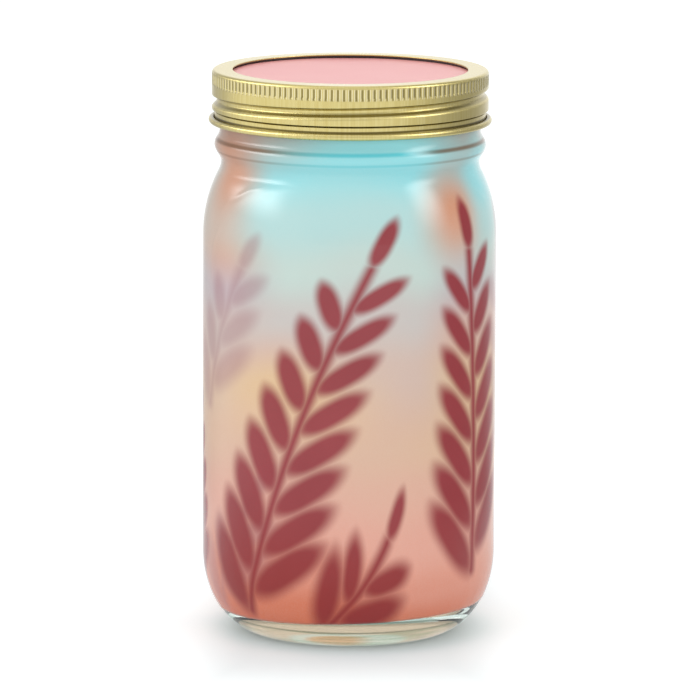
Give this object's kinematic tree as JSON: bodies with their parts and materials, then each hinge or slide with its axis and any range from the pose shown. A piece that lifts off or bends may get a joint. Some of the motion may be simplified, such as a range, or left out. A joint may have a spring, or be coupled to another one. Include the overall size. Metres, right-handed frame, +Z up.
{
  "type": "hydroponic jar planter",
  "caption": "Wide-mouth glass jar in a printed film, with a perforated wick pot hung in its mouth under a sealed disc, a round card and a screw band.",
  "frame": {"origin": "centre of the jar's bearing ring, on the table", "axes": "+Z up along the jar's axis; -Y is the side that the picture shows"},
  "size_m": [0.0936, 0.0936, 0.1806],
  "materials": {
    "glass_jar": "clear soda-lime glass with a faint green tint",
    "printed_sleeve": "glossy printed film, pale aqua at the top to coral at the bottom",
    "screw_band": "satin pale gold lacquer on rolled tinplate",
    "lid_disc": "black lacquer on tinplate",
    "lid_seal": "soft grey sealing compound",
    "lid_card": "coated pink card",
    "pot_steel": "satin stainless sheet",
    "wick": "white needled felt",
    "grow_medium": "pressed brown coir fibre",
    "carbon_sachet": "porous tea-bag paper, grey with carbon granules",
    "plant_food_sachet": "white sachet film",
    "seed_packet": "brown kraft paper",
    "instruction_leaflet": "uncoated cream paper"
  },
  "bodies": {
    "jar": {"glass_jar": "glass_jar", "printed_sleeve": "printed_sleeve"},
    "net_pot": {"pot_rim": "pot_steel", "pot_wall": "pot_steel", "pot_floor": "pot_steel", "wick": "wick", "grow_medium": "grow_medium", "carbon_sachet": "carbon_sachet", "plant_food_sachet": "plant_food_sachet", "seed_packet": "seed_packet", "instruction_leaflet": "instruction_leaflet"},
    "lid": {"lid_disc": "lid_disc", "lid_seal": "lid_seal"},
    "card": {"lid_card": "lid_card"},
    "band": {"screw_band": "screw_band"}
  },
  "joints": [
    {"name": "pot_lift", "type": "slide", "parent": "jar", "child": "net_pot", "axis": [0, 0, 1], "range_m": [0, 0.18]},
    {"name": "lid_lift", "type": "slide", "parent": "net_pot", "child": "lid", "axis": [0, 0, 1], "range_m": [0, 0.03]},
    {"name": "band_turn", "type": "hinge", "parent": "lid", "child": "card", "pos_m": [0, 0, 0.1792], "axis": [0, 0, 1], "range_deg": [0, 450]},
    {"name": "band_rise", "type": "slide", "parent": "card", "child": "band", "axis": [0, 0, 1], "range_m": [0, 0.0065]}
  ],
  "couplings": [
    {"joint": "band_rise", "follows": "band_turn", "m_per_rad": 0.00080851}
  ]
}
